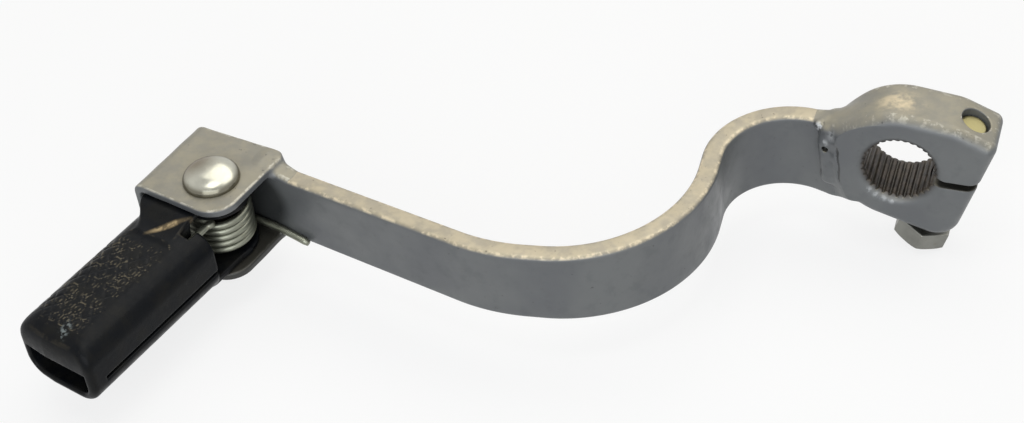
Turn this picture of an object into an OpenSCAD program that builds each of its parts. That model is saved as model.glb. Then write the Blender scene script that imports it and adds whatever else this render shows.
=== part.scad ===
// Folding gear lever for a motorbike.
// A serrated clamp boss and an S-bent flat arm, with a fold-away toe peg in a bracket at the tip.
// The origin is the middle of the serrated bore, whose axis runs along Y.
// The arm runs towards -X, the toe peg points towards -Y, and +Z is up the height of the arm.

/* [Clamp boss] */
// Width of the boss along the bore
boss_w = 12.0; // [8:0.1:16]
// Outer radius of the eye around the bore
eye_r = 12.8; // [11:0.1:15]
// Radius of the bore over the crests of the serrations
bore_crest_r = 6.65; // [6:0.05:7]
// Depth of the serrations below their crests
serration_depth = 0.55; // [0.3:0.05:0.8]
// Number of serrations round the bore
serration_count = 32; // [20:1:40]
// Width of each groove where it meets the crests
groove_w = 0.75; // [0.4:0.05:0.9]
// Radius of the chamfer at both mouths of the bore
mouth_r = 8.3; // [7.6:0.1:9]
// Depth of the chamfer at both mouths of the bore
mouth_depth = 1.2; // [0.5:0.1:2]
// Reach of the two jaws from the bore axis to their tips
jaw_reach = 14.8; // [14.2:0.1:18]
// Height of the upper jaw above the bore axis, along the pinch bolt
upper_jaw_h = 13.1; // [10:0.1:15]
// Height of the lower jaw below the bore axis, along the pinch bolt
lower_jaw_h = 13.0; // [10:0.1:15]
// Corner radius of the upper jaw's tip
upper_corner_r = 1.8; // [1:0.1:4]
// Corner radius of the lower jaw's tip
lower_corner_r = 4.9; // [1.5:0.1:6]
// Radius of the crown on top of the upper jaw
crown_r = 8; // [5:0.5:12]
// Height of that crown above the upper jaw's corner
crown_rise = 0.8; // [0.1:0.1:1.5]
// Rounding of the boss's outer edges
boss_round = 2.2; // [0.5:0.1:2.6]
// Width of the clamping slit
slit_w = 1.4; // [0.8:0.1:2.5]
// Distance of the slit below the bore axis
slit_drop = 1.6; // [0:0.1:3]

/* [Pinch bolt] */
// Radius of the bolt's shank
bolt_r = 2.8; // [2.4:0.05:3]
// Free space between the bolt and the shaft in the bore
bolt_past_bore = 0.1; // [0.1:0.05:1]
// Radial clearance of the bolt in the tapped upper jaw
thread_clear = 0.05; // [0.02:0.01:0.1]
// Radial clearance of the bolt in the lower jaw
shank_clear = 0.3; // [0.1:0.05:0.5]
// Lean of the bolt towards the jaws' tips, in degrees from upright
bolt_lean = 15.7; // [0:0.1:20]
// Width across the flats of the hexagon head
head_af = 10; // [8:0.5:11]
// Height of the hexagon head
head_h = 4.2; // [3:0.1:6]
// Chamfer of the head's corners on its outer face
head_chamfer = 0.3; // [0.1:0.1:0.8]
// Gap left between the head and the lower jaw, as the bolt is not tightened
head_gap = 0.8; // [0.1:0.1:2]
// Depth of the bolt's end below the top of the upper jaw
bolt_recess = 0.9; // [0.2:0.1:4]

/* [Arm] */
// Thickness of the flat bar
arm_t = 4.0; // [3:0.1:6]
// Height of the arm's upper edge above the bore axis, at the boss
arm_top_root = 6.5; // [3:0.1:8]
// Height of the arm's upper edge above the bore axis, at the tip bracket
arm_top_tip = 3.3; // [1:0.1:5]
// Depth of the arm's lower edge below the bore axis, near the boss
arm_low_root = 12.0; // [9:0.1:14]
// Depth of the arm's lower edge below the bore axis, in the large bend
arm_low_bend = 11.1; // [9:0.1:13]
// Depth of the arm's lower edge below the bore axis, at the tip bracket
arm_low_tip = 11.8; // [9:0.1:13]
// Rounding of the arm's long edges
arm_round = 1.0; // [0.3:0.1:1.4]
// Distance of the arm's root from the bore axis, towards the tip
root_back = 7.6; // [7:0.1:10]
// Distance of the arm's root from the middle of the boss, towards the front
root_front = 3.8; // [1:0.1:4]
// Angle at which the arm leaves the boss towards the rear
leave_angle = 25.7; // [10:0.5:40]
// Length of the straight next to the boss
root_straight = 6.1; // [5:0.1:12]
// Middle radius of the bend next to the boss
bend1_r = 14.3; // [10:0.1:20]
// Angle of the bend next to the boss
bend1_angle = 118.9; // [90:1:125]
// Length of the straight between the first two bends
mid_straight = 3.4; // [1:0.1:12]
// Middle radius of the large bend
bend2_r = 27.4; // [18:0.1:36]
// Angle of the large bend
bend2_angle = 86.3; // [70:1:95]
// Length of the straight between the last two bends
far_straight = 3.3; // [1:0.1:12]
// Middle radius of the last, open bend
bend3_r = 36.8; // [20:0.1:60]
// Angle of the last, open bend
bend3_angle = 20.9; // [5:1:30]
// Length of the long straight up to the arm's end under the bracket
long_straight = 51.1; // [46:0.1:80]

/* [Tip bracket] */
// Thickness of the folded sheet
plate_t = 1.7; // [1.5:0.1:3]
// Distance from the pivot to the outside of the folded wall
wall_reach = 13.2; // [12:0.1:15]
// Distance from the pivot to the bracket's edge on the arm's side
arm_side_reach = 8.4; // [8:0.1:10]
// Distance from the pivot to the bracket's front edge
front_reach = 8.3; // [7.6:0.1:9]
// Radius of the bracket's free front corner
front_corner_r = 5.5; // [3:0.1:7]
// Outer radius of the fold
fold_r = 2.5; // [2.2:0.1:4]
// Distance from the pivot to the middle of the arm
pivot_offset = 9.3; // [9:0.1:12]
// Distance from the pivot back to the arm's end, along the arm (negative: the arm passes the pivot)
arm_end_reach = -1.0; // [-3:0.1:4]
// Distance by which the bracket's rear edge stands back from the arm, on the arm's side
rear_flare = 1.5; // [0.1:0.1:3]

/* [Pivot rivet] */
// Radius of the rivet's shank
rivet_r = 3.5; // [2.5:0.1:4]
// Radius of the domed head
dome_r = 5.6; // [4.5:0.1:7]
// Height of the domed head
dome_h = 2.4; // [1.5:0.1:4]
// Radius of the peened tail
tail_r = 4.8; // [4:0.1:6]
// Height of the peened tail
tail_h = 1.4; // [0.8:0.1:3]

/* [Torsion spring] */
// Diameter of the spring wire
wire_d = 1.5; // [1:0.1:1.6]
// Radius of the coil at the middle of the wire
coil_r = 5.8; // [5.2:0.1:5.8]
// Length of the leg that bears on the arm
arm_leg = 15.6; // [12:0.1:30]
// Drop of that leg's end below the lowest coil
arm_leg_drop = 1.5; // [0:0.1:2]
// Reach of the leg that hooks into the peg, in front of the pivot
peg_leg_reach = 12.2; // [11.5:0.1:13]

/* [Toe peg] */
// Width of the peg's sleeve
peg_w = 18.0; // [14:0.1:20]
// Distance of the sleeve's middle from the pivot, towards the folded wall
peg_shift = 1.9; // [0:0.1:3]
// Height of the sleeve
peg_h = 13.6; // [11:0.1:14]
// Depth of the sleeve's middle below the middle of the bracket
peg_sink = 1.0; // [0:0.1:1.5]
// Corner radius of the sleeve
peg_corner_r = 4.5; // [3:0.1:6]
// Thickness of the pressed sheet
peg_t = 2.0; // [1.5:0.1:2.5]
// Distance from the pivot to the peg's open end
peg_reach = 45.2; // [38:0.5:60]
// Distance from the pivot to the sleeve's shoulder
shoulder_reach = 9.9; // [9.8:0.1:11]
// Radius of the rounded ears round the pivot
ear_r = 6.6; // [5.5:0.1:6.8]
// Thickness of the ears
ear_t = 1.4; // [1.2:0.1:2.2]
// Height of the collar under the upper ear, on which the spring's top coil bears
collar_h = 1.6; // [0.5:0.1:2]
// Gap between each ear and the bracket plate beside it
ear_clear = 0.2; // [0.1:0.05:0.5]
// Radius of the nose that closes the top of the peg's open end
nose_r = 5.5; // [3:0.1:7]
// Height of the mouth under that nose
mouth_h = 5.5; // [4:0.1:7]
// Radial running clearance of the ears on the rivet
pivot_clear = 0.05; // [0.02:0.01:0.1]
// Width of the seam where the pressed sheet's edges face each other
seam_w = 0.7; // [0.4:0.1:1.2]
// Height of the seam above the bottom of the sleeve
seam_up = 4.6; // [4.5:0.1:6]
// Swing of the resting peg towards the folded wall, in degrees
peg_rest = 2; // [0:0.5:3]

/* [Welds] */
// Radius of the weld bead beside the boss
boss_bead_r = 2.2; // [1.5:0.1:3.5]
// Radius of the weld bead at the bracket
tip_bead_r = 1.7; // [1.2:0.1:2]
// Length of that bead's ramp along the arm
tip_ramp = 4; // [2:0.5:6]

/* [Hidden] */
painted = "#7d8080";
zinc = "#c9c8bd";
black = "#1b1c20";
bead_grey = "#8d8f8d";
past = 1;
through = 60;
round_fn = 96;
bead_fn = 12;
bead_out = 0.2;
least_corner = 0.3;
crown_in = 0.3;
corner_fn = 32;
coil_fn = 20;
wire_fn = 8;

// Pinch bolt: it passes beside the shaft that the bore takes.
bolt_out = bore_crest_r + bolt_past_bore + bolt_r;
bore_root_r = bore_crest_r + serration_depth;
jaw_bottom_gap = lower_jaw_h + head_gap;

// Path of the arm's middle line: each state is [x, y, heading].
function go(s, len) = [s[0] + len * cos(s[2]), s[1] + len * sin(s[2]), s[2]];
function turn(s, r, a) =
    let (side = sign(a), cx = s[0] - side * r * sin(s[2]), cy = s[1] + side * r * cos(s[2]), h = s[2] + a)
    [cx + side * r * sin(h), cy - side * r * cos(h), h];
path0 = [-root_back, -root_front, 180 - leave_angle];
path1 = go(path0, root_straight);
path2 = turn(path1, bend1_r, bend1_angle);
path3 = go(path2, mid_straight);
path4 = turn(path3, bend2_r, -bend2_angle);
path5 = go(path4, far_straight);
path6 = turn(path5, bend3_r, -bend3_angle);
level_past = 4;
level_len = arm_side_reach - arm_end_reach + level_past;
path_level = go(path6, long_straight - level_len);
path7 = go(path6, long_straight);
bend_step = 5;
function bend(s, r, a) =
    let (n = ceil(abs(a) / bend_step))
    [for (i = [0:n]) turn(s, r, a * i / n)];
stations = concat([path0], bend(path1, bend1_r, bend1_angle), bend(path3, bend2_r, -bend2_angle),
                  bend(path5, bend3_r, -bend3_angle), [path_level, path7]);

// Tip frame: its origin is the pivot, its X runs back along the arm, and its Y runs to the rear.
tip_turn = path7[2] - 180;
rear_face = pivot_offset + arm_t / 2;
front_face = pivot_offset - arm_t / 2;
pivot_x = path7[0] - arm_end_reach * cos(tip_turn) + pivot_offset * sin(tip_turn);
pivot_y = path7[1] - arm_end_reach * sin(tip_turn) - pivot_offset * cos(tip_turn);
level_x = path_level[0];
bend_x = (path3[0] + path4[0]) / 2;
function arm_top(x) = lookup(x, [[level_x, arm_top_tip], [0, arm_top_root]]);
function arm_low(x) = -lookup(x, [[level_x, arm_low_tip], [bend_x, arm_low_bend], [path1[0], arm_low_root]]);

// Heights at the tip.
gap_top = arm_top_tip;
gap_bottom = -arm_low_tip;
bracket_top = gap_top + plate_t;
bracket_bottom = gap_bottom - plate_t;
ear_top = gap_top - ear_clear;
ear_low = gap_bottom + ear_clear;
peg_mid_z = (gap_top + gap_bottom) / 2 - peg_sink;
peg_top = peg_mid_z + peg_h / 2;
peg_bottom = peg_mid_z - peg_h / 2;

// Spring: it fills the space between the ears, with a little play at each end.
coil_play = 0.1;
notch_play = 0.4;
wall_gap = 0.9;
coil_low = ear_low + ear_t + coil_play + wire_d / 2;
coil_high = ear_top - ear_t - collar_h - coil_play - wire_d / 2;
coil_start = 90;
coil_last_angle = 295;
part_turn = (coil_last_angle - coil_start) / 360;
least_pitch = 1.02 * wire_d;
full_turns = floor((coil_high - coil_low) / least_pitch - part_turn);
coil_sweep = 360 * (full_turns + part_turn);
coil_steps = ceil(coil_sweep * coil_fn / 360);

module at_tip() {
    translate([pivot_x, pivot_y, 0])
        rotate([0, 0, tip_turn])
            children();
}

module clamp_boss() {
    color(painted)
        difference() {
            boss_blank();
            rotate([90, 0, 0])
                linear_extrude(height = through, center = true)
                    serrated_bore();
            for (side = [-1, 1])
                bore_mouth(side);
            translate([0, -through / 2, -slit_drop - slit_w / 2])
                cube([through, through, slit_w]);
            bolt_frame() {
                cylinder(h = through, r = bolt_r + thread_clear, $fn = round_fn);
                translate([0, 0, -through])
                    cylinder(h = through, r = bolt_r + shank_clear, $fn = round_fn);
            }
        }
}

// Frame whose Z is the bolt's axis and whose origin is beside the bore.
module bolt_frame() {
    rotate([0, bolt_lean, 0])
        translate([bolt_out, 0, 0])
            children();
}

// Solid boss with rounded outer edges, before any hole is made.
module boss_blank() {
    hull()
        for (a = [0, 30, 60, 90])
            rotate([90, 0, 0])
                linear_extrude(height = boss_w - 2 * boss_round * (1 - sin(a)), center = true)
                    boss_outline(boss_round * (1 - cos(a)));
}

// Outline of the boss in the plane of X and Z, drawn smaller all round by inset.
module boss_outline(inset) {
    circle(r = eye_r - inset, $fn = round_fn);
    rotate(-bolt_lean) {
        jaw_corner(1, upper_jaw_h, upper_corner_r, inset);
        jaw_corner(-1, lower_jaw_h, lower_corner_r, inset);
        translate([jaw_reach - crown_r - crown_in, upper_jaw_h + crown_rise - crown_r])
            circle(r = crown_r - inset, $fn = round_fn);
    }
}

// Rounded corner of the upper (1) or the lower (-1) jaw.
module jaw_corner(side, h, corner, inset) {
    r = max(corner - inset, least_corner);
    translate([jaw_reach - inset - r, side * (h - inset - r)])
        circle(r = r, $fn = corner_fn);
}

// Bore with grooves cut between true round crests.
module serrated_bore() {
    circle(r = bore_crest_r, $fn = round_fn);
    inner = bore_crest_r - serration_depth;
    for (i = [0:serration_count - 1])
        rotate(i * 360 / serration_count)
            polygon([[inner, -groove_w / 2], [bore_root_r, -groove_w / 6],
                     [bore_root_r, groove_w / 6], [inner, groove_w / 2]]);
}

module bore_mouth(side) {
    slope = (mouth_r - bore_crest_r) / mouth_depth;
    rotate([side * -90, 0, 0])
        translate([0, 0, boss_w / 2 - mouth_depth])
            cylinder(h = mouth_depth + past, r1 = bore_crest_r, r2 = mouth_r + slope * past, $fn = round_fn);
}

module pinch_bolt() {
    shank_top = upper_jaw_h - bolt_recess;
    head_r = head_af / sqrt(3);
    chamfer_r = head_af / 2 - head_chamfer;
    color(zinc)
        bolt_frame() {
            translate([0, 0, -jaw_bottom_gap - head_h / 2])
                cylinder(h = jaw_bottom_gap + head_h / 2 + shank_top, r = bolt_r, $fn = round_fn);
            translate([0, 0, -jaw_bottom_gap - head_h])
                intersection() {
                    rotate([0, 0, 30])
                        cylinder(h = head_h, r = head_r, $fn = 6);
                    cylinder(h = through, r1 = chamfer_r, r2 = chamfer_r + through, $fn = round_fn);
                }
        }
}

// Section of the flat bar at one station, as points of its outline with rounded corners.
function bar_section(top, low) =
    let (w = arm_t / 2 - arm_round, hi = top - arm_round, lo = low + arm_round)
    [for (c = [[w, hi, 0], [-w, hi, 90], [-w, lo, 180], [w, lo, 270]])
        for (a = [0, 30, 60, 90])
            [c[0] + arm_round * cos(c[2] + a), c[1] + arm_round * sin(c[2] + a)]];

function ring_faces(rings, n) =
    concat([[for (j = [n - 1:-1:0]) j]],
           [for (i = [0:rings - 2]) for (j = [0:n - 1])
               [i * n + j, i * n + (j + 1) % n, (i + 1) * n + (j + 1) % n, (i + 1) * n + j]],
           [[for (j = [0:n - 1]) (rings - 1) * n + j]]);

module arm_sweep() {
    pts = [for (s = stations)
            for (q = bar_section(arm_top(s[0]), arm_low(s[0])))
                [s[0] - q[0] * sin(s[2]), s[1] + q[0] * cos(s[2]), q[1]]];
    polyhedron(points = pts, faces = ring_faces(len(stations), 16), convexity = 6);
}

module arm_bar() {
    color(painted)
        difference() {
            arm_sweep();
            rotate([90, 0, 0])
                cylinder(h = through, r = eye_r, center = true, $fn = round_fn);
        }
}

// Bead between the boss and the arm: down the front, over the top and down the rear.
// It is fused into both, so it reaches a little way into each.
module boss_weld() {
    highest = arm_top_root - boss_bead_r / 2;
    heights = concat([for (k = [-2:0]) k * eye_r / 3], [highest]);
    color(bead_grey) {
        for (side = [-1, 1])
            for (i = [0:len(heights) - 2])
                hull() {
                    boss_bead(side, heights[i]);
                    boss_bead(side, heights[i + 1]);
                }
        hull()
            for (side = [-1, 1])
                boss_bead(side, highest);
    }
}

// One lump of that bead, on the front (-1) or the rear (1) face of the arm.
module boss_bead(side, z) {
    back = sqrt(eye_r * eye_r - z * z) + boss_bead_r * bead_out;
    along = (back - root_back) / cos(leave_angle);
    meet_y = -root_front + along * sin(leave_angle);
    translate([-back, meet_y + side * (arm_t - boss_bead_r) / 1.6, z])
        sphere(r = boss_bead_r, $fn = bead_fn);
}

module bracket_outline() {
    x1 = arm_side_reach;
    y0 = -front_reach;
    c = front_corner_r;
    union() {
        translate([-wall_reach, y0])
            square([wall_reach + x1 - c, front_reach + rear_face]);
        translate([-wall_reach, y0 + c])
            square([wall_reach + x1, front_reach + rear_face - c]);
        translate([x1 - c, y0 + c])
            circle(r = c, $fn = round_fn);
        polygon([[-wall_reach, 0], [x1, 0], [x1, rear_face + rear_flare], [-wall_reach, rear_face]]);
    }
}

// Folded channel seen from the front: two plates joined by the wall at the free end.
module channel_outline(inset) {
    r = fold_r - inset;
    x0 = -wall_reach + inset;
    z0 = bracket_bottom + inset;
    z1 = bracket_top - inset;
    translate([x0 + r, z0])
        square([through / 2, z1 - z0]);
    translate([x0, z0 + r])
        square([through / 2, z1 - z0 - 2 * r]);
    for (z = [z0 + r, z1 - r])
        translate([x0 + r, z])
            circle(r = r, $fn = round_fn);
}

module tip_bracket() {
    color(painted)
        at_tip()
            difference() {
                intersection() {
                    translate([0, 0, bracket_bottom - past])
                        linear_extrude(height = bracket_top - bracket_bottom + 2 * past)
                            bracket_outline();
                    rotate([90, 0, 0])
                        linear_extrude(height = through, center = true)
                            difference() {
                                channel_outline(0);
                                channel_outline(plate_t);
                            }
                }
                cylinder(h = through, r = rivet_r, center = true, $fn = round_fn);
            }
}

// Ramped beads that join the bracket's two plates to the arm, fused into both.
module bracket_weld() {
    color(bead_grey)
        at_tip() {
            tip_bead(gap_top, 1);
            tip_bead(gap_bottom, -1);
        }
}

module tip_bead(arm_edge, outward) {
    high_r = tip_bead_r;
    low_r = tip_bead_r * 0.6;
    hull()
        for (y = [front_face + high_r / 2, rear_face - high_r / 2]) {
            translate([arm_side_reach + high_r * bead_out, y, arm_edge + outward * (plate_t - high_r)])
                sphere(r = high_r, $fn = bead_fn);
            translate([arm_side_reach + tip_ramp, y, arm_edge - outward * low_r * 0.6])
                sphere(r = low_r, $fn = bead_fn);
        }
}

module pivot_rivet() {
    color(zinc)
        at_tip()
            union() {
                translate([0, 0, bracket_top])
                    cap(dome_r, dome_h);
                translate([0, 0, bracket_bottom])
                    cylinder(h = bracket_top - bracket_bottom, r = rivet_r, $fn = round_fn);
                translate([0, 0, bracket_bottom])
                    mirror([0, 0, 1])
                        cap(tail_r, tail_h);
            }
}

// Flat-based cap of a ball, with the given base radius and height.
module cap(base_r, h) {
    ball_r = (base_r * base_r + h * h) / (2 * h);
    rotate_extrude($fn = round_fn)
        intersection() {
            translate([0, h - ball_r])
                circle(r = ball_r, $fn = round_fn);
            square([base_r, h]);
        }
}

// Middle line of the spring wire: a leg on the arm, the coil, and a leg into the peg.
coil_points = [for (i = [0:coil_steps])
                let (a = coil_start + coil_sweep * i / coil_steps)
                [coil_r * cos(a), coil_r * sin(a), coil_low + (coil_high - coil_low) * i / coil_steps]];
coil_last = coil_points[len(coil_points) - 1];
peg_leg_x = coil_last[0] + wire_d / 4;
wire_path = concat([[arm_leg, front_face - wire_d / 2 - coil_play, coil_low - arm_leg_drop],
                    [arm_leg / 3, coil_r + 2 * coil_play, coil_low]],
                   coil_points,
                   [[peg_leg_x, coil_last[1] - wire_d, coil_last[2]],
                    [peg_leg_x, -peg_leg_reach, coil_last[2]]]);

function unit(v) = v / norm(v);
function tangent(p, i) = unit(p[min(i + 1, len(p) - 1)] - p[max(i - 1, 0)]);

module torsion_spring() {
    n = len(wire_path);
    pts = [for (i = [0:n - 1])
            let (t = tangent(wire_path, i), side = unit(cross(t, [0, 0, 1])), up = cross(side, t))
            for (j = [0:wire_fn - 1])
                wire_path[i] + wire_d / 2 * (cos(j * 360 / wire_fn) * side + sin(j * 360 / wire_fn) * up)];
    color(zinc)
        at_tip()
            polyhedron(points = pts, faces = [for (f = ring_faces(n, wire_fn)) [for (k = [len(f) - 1:-1:0]) f[k]]],
                       convexity = 12);
}

// Section of the sleeve in the plane of the tip frame's X and Z, drawn smaller all round by inset.
module sleeve_outline(inset) {
    r = peg_corner_r - inset;
    w = peg_w - 2 * inset;
    h = peg_h - 2 * inset;
    translate([-peg_shift, peg_mid_z]) {
        square([w - 2 * r, h], center = true);
        square([w, h - 2 * r], center = true);
        for (x = [-1, 1])
            for (z = [-1, 1])
                translate([x * (w / 2 - r), z * (h / 2 - r)])
                    circle(r = r, $fn = round_fn);
    }
}

module sleeve_run(inset, start) {
    translate([0, -start, 0])
        rotate([90, 0, 0])
            linear_extrude(height = through)
                sleeve_outline(inset);
}

// Side view of the peg's end: its top is rounded down to the mouth.
module nose(inset) {
    r = nose_r - inset;
    round_y = peg_reach - nose_r;
    round_z = peg_top - nose_r;
    rotate([90, 0, -90])
        linear_extrude(height = through, center = true) {
            translate([0, peg_bottom - past])
                square([peg_reach - inset, round_z - peg_bottom + past]);
            translate([0, peg_bottom - past])
                square([round_y, peg_top - inset - peg_bottom + past]);
            translate([round_y, round_z])
                circle(r = r, $fn = round_fn);
        }
}

// Pressed sleeve: closed above its mouth by the nose, with a seam along the side.
module sleeve() {
    difference() {
        intersection() {
            sleeve_run(0, shoulder_reach);
            nose(0);
        }
        intersection() {
            sleeve_run(peg_t, shoulder_reach - past);
            nose(peg_t);
        }
        intersection() {
            sleeve_run(peg_t, peg_reach - nose_r);
            translate([-through / 2, -through, peg_bottom])
                cube([through, through, peg_t + mouth_h]);
        }
        translate([peg_w / 4, -through, peg_bottom + seam_up])
            cube([peg_w, through, seam_w]);
    }
}

// One ear: a round end on the pivot, and a stepped strip that joins it to the sleeve.
module ear(face, towards, sleeve_face, right, hub_h) {
    left = -wall_reach + plate_t + wall_gap;
    flat_left = -peg_shift - peg_w / 2 + peg_corner_r;
    flat_right = min(right, peg_w / 2 - peg_shift - peg_corner_r);
    step_start = shoulder_reach + 1;
    step_end = step_start + 4;
    difference() {
        union() {
            translate([0, 0, min(face, face + towards * hub_h)])
                cylinder(h = hub_h, r = ear_r, $fn = round_fn);
            intersection() {
                rotate([90, 0, 90])
                    linear_extrude(height = through, center = true)
                        polygon([[0, face], [-step_start, face], [-step_end, sleeve_face],
                                 [-step_end, sleeve_face + towards * peg_t],
                                 [-step_start, face + towards * ear_t], [0, face + towards * ear_t]]);
                translate([0, 0, -through / 2])
                    linear_extrude(height = through)
                        polygon([[-ear_r, 0], [right, 0], [right, -step_start], [flat_right, -step_end],
                                 [flat_left, -step_end], [left, -step_start], [left, -ear_r]]);
            }
        }
        cylinder(h = through, r = rivet_r + pivot_clear, center = true, $fn = round_fn);
    }
}

module toe_peg() {
    notch_w = wire_d + 2 * notch_play;
    notch_left = peg_leg_x + peg_leg_reach * sin(peg_rest) - notch_w / 2;
    notch_front = peg_leg_reach + notch_play;
    notch_back = ear_r + notch_play;
    color(black)
        at_tip()
            rotate([0, 0, -peg_rest])
                difference() {
                    union() {
                        sleeve();
                        ear(ear_top, -1, peg_top, notch_left, ear_t + collar_h);
                        ear(ear_low, 1, peg_bottom, ear_r, ear_t);
                    }
                    translate([notch_left, -notch_front, coil_high - wire_d])
                        cube([notch_w, notch_front - notch_back, through]);
                }
}

clamp_boss();
arm_bar();
boss_weld();
tip_bracket();
bracket_weld();
pinch_bolt();
pivot_rivet();
torsion_spring();
toe_peg();
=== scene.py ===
import math

import bpy
import numpy as np
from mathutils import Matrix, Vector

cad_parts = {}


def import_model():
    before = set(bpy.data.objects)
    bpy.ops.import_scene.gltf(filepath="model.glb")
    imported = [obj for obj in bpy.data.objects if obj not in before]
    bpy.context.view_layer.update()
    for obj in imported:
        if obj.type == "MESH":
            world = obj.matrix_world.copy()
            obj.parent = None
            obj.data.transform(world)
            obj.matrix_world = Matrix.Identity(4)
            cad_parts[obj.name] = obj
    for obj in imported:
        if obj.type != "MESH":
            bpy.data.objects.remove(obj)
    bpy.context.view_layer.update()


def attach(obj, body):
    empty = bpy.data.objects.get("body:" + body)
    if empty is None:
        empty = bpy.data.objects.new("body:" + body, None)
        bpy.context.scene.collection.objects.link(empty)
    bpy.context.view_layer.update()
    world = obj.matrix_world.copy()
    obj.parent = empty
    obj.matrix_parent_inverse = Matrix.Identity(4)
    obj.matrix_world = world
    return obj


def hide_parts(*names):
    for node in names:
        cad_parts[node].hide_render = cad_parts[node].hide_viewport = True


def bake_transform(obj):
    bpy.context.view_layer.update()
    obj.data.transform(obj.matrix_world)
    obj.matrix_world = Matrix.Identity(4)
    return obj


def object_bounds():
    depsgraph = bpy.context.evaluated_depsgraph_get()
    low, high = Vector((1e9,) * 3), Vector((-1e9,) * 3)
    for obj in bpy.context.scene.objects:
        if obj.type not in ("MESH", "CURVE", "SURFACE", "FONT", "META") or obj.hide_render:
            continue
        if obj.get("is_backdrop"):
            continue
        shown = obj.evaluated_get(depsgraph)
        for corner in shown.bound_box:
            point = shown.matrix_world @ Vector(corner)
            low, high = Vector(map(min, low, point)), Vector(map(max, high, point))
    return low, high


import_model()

import openvdb
from mathutils import Matrix, Vector
from mathutils.geometry import convex_hull_2d

MM = 0.001

# ---------------------------------------------------------------- sizes, in mm, as in the solids
EYE_R = 12.8
BOSS_W = 12.0
BOSS_ROUND = 2.2
CREST_R = 6.65
ROOT_R = 7.2
TEETH = 32
GROOVE_W = 0.75
GROOVE_TAPER = 0.45
MOUTH_R = 8.3
MOUTH_DEPTH = 1.2
JAW_REACH = 14.8
JAW_UP = 13.1
JAW_DOWN = 13.0
UPPER_CORNER = 1.8
LOWER_CORNER = 4.9
CROWN_R = 8.0
CROWN_TOP = 13.9
SLIT_Z = -1.6
SLIT_W = 1.4
LEAN = math.radians(15.7)
BOLT_OUT = 9.55
BOLT_R = 2.8
HOLE_UP_R = 2.85
HOLE_DOWN_R = 3.1
HEAD_AF = 10.0
HEAD_H = 4.2
HEAD_GAP = 0.8
BOLT_RECESS = 0.9
ARM_T = 4.0
ARM_ROUND = 1.0
ARM_TOP_ROOT = 6.5
ARM_TOP_TIP = 3.3
ARM_LOW_TIP = -11.8
ARM_LOW_MIDDLE = -11.1
ARM_LOW_ROOT = -12.0
PLATE_T = 1.7
WALL_REACH = 13.2
FOLD_R = 2.5
PIVOT_AHEAD = 1.0
PIVOT_OFF = 9.3
PEG_LEAN = math.radians(2)
PEG_MID = -5.25
PEG_WALL = 2
EAR_R = 6.6
EAR_T = 1.4
HATCH_STEP = 1.9
HATCH_DEPTH = 0.17
RIVET_R = 3.5
DOME_R = 5.6
DOME_H = 2.8
TAIL_R = 4.8
TAIL_H = 1.4
COIL_R = 5.8
COIL_SEAT_LOW = -10.2
COIL_SEAT_HIGH = 0.1
WIRE_R = 0.75
PLAY = 0.1

# ---------------------------------------------------------------- places, in mm, from the photograph
# Lines of points down the weld's front and rear ridges, each with its reach.
WELD_RIDGES = (
    (((-13.7, -3.2, 4.7), (-13.9, -3.5, 3.0), (-13.7, -3.6, 0.0), (-13.4, -3.5, -3.0), (-13.0, -3.3, -6.4)), 1.35),
    (((-12.9, 1.9, 4.6), (-13.2, 2.2, 3.0), (-13.4, 2.3, 0.0), (-13.1, 2.3, -4.0), (-12.2, 2.2, -7.6)), 1.3),
)
# Centre and radius of the lumps on the weld's top.
WELD_LUMPS = ((-16.0, -2.2, 5.4, 0.8), (-14.0, -3.3, 5.2, 0.7), (-12.9, -3.7, 4.6, 0.6),
              (-12.0, -4.3, 5.6, 0.6), (-15.0, -3.9, 3.2, 0.5))
# X at mid height, slope, lowest and highest Z of the creases on both sides of the weld.
WELD_CREASES = ((-16.1, -0.2, -5.6, 5.0), (-11.5, -0.1, -5.5, 4.4))
PIT = (-14.3, -4.8, 1.7)
PIT_DARK = (-14.3, -4.4, 1.7)
# Centre, radius and strength of the chips of bare metal on the weld.
CHIPS = (((-16.0, -2.8, 5.6), 1.2, 0.8), ((-12.4, -4.2, 5.2), 1.9, 0.8), ((-14.2, -4.2, 3.4), 1.2, 0.8))
BOSS_DUST = (-1.5, -0.6, 12.8)
PEG_CREASE = (-129.0, -54.9, 2.0)
PEG_SCUFF = (-136.4, -83.4, 0.4)


# ---------------------------------------------------------------- the arm's middle line
PATH_STEP = 0.6
ARM_START = (-7.6, -3.8, math.radians(180 - 25.7))
# Straight length, then radius and degrees of the bend after it.
ARM_RUNS = ((6.1, 14.3, 118.9), (3.4, 27.4, -86.3), (3.3, 36.8, -20.9), (51.1, 0, 0))


def go(s, length):
    return (s[0] + length * math.cos(s[2]), s[1] + length * math.sin(s[2]), s[2])


def turn(s, r, angle):
    side = 1 if angle > 0 else -1
    cx, cy = s[0] - side * r * math.sin(s[2]), s[1] + side * r * math.cos(s[2])
    h = s[2] + angle
    return (cx + side * r * math.sin(h), cy - side * r * math.cos(h), h)


def arm_path():
    """States (x, y, heading) about every PATH_STEP along the arm, from the boss to its end."""
    states = [ARM_START]
    for straight, radius, degrees in ARM_RUNS:
        n = max(1, round(straight / PATH_STEP))
        start = states[-1]
        states += [go(start, straight * k / n) for k in range(1, n + 1)]
        if radius:
            n = max(1, round(radius * math.radians(abs(degrees)) / PATH_STEP))
            start = states[-1]
            states += [turn(start, radius, math.radians(degrees) * k / n) for k in range(1, n + 1)]
    return states


PATH = arm_path()
ROOT_STATES = 34
ARM_FIRST = 7
END = PATH[-1]
TIP_TURN = END[2] - math.pi
PEG_TURN = TIP_TURN - PEG_LEAN
PIVOT = (END[0] + PIVOT_AHEAD * math.cos(TIP_TURN) + PIVOT_OFF * math.sin(TIP_TURN),
         END[1] + PIVOT_AHEAD * math.sin(TIP_TURN) - PIVOT_OFF * math.cos(TIP_TURN))
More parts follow.
